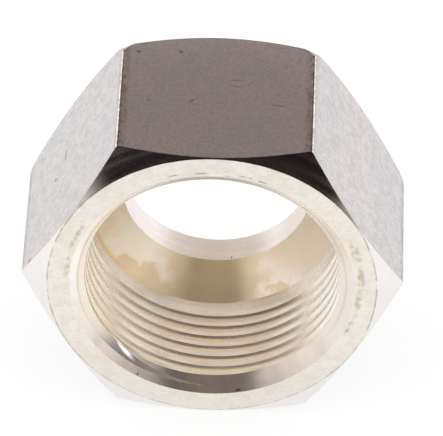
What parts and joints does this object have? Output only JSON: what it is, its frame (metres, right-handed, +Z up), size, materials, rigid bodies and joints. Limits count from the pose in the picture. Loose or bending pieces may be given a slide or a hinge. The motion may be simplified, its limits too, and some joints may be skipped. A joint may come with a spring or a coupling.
{
  "type": "union nut",
  "caption": "Hexagonal union nut with an internal metric thread at its mouth and a coned collar that clamps a tube in a cutting-ring compression fitting.",
  "frame": {"origin": "on the nut's axis, midway between the threaded mouth face and the collar face", "axes": "+Y along the axis from the threaded mouth to the collar, +Z up out of the top wrench flat, +X out of a hexagon corner. The nut lies on its lower wrench flat."},
  "size_m": [0.0368, 0.0186, 0.032],
  "materials": {
    "plated_steel": "free-cutting steel with a bright zinc-nickel plating, silver with a faint warm tone: drawn flats with fine scratches, turned ends, tapped thread"
  },
  "bodies": {
    "root": {"union_nut": "plated_steel"}
  },
  "joints": []
}
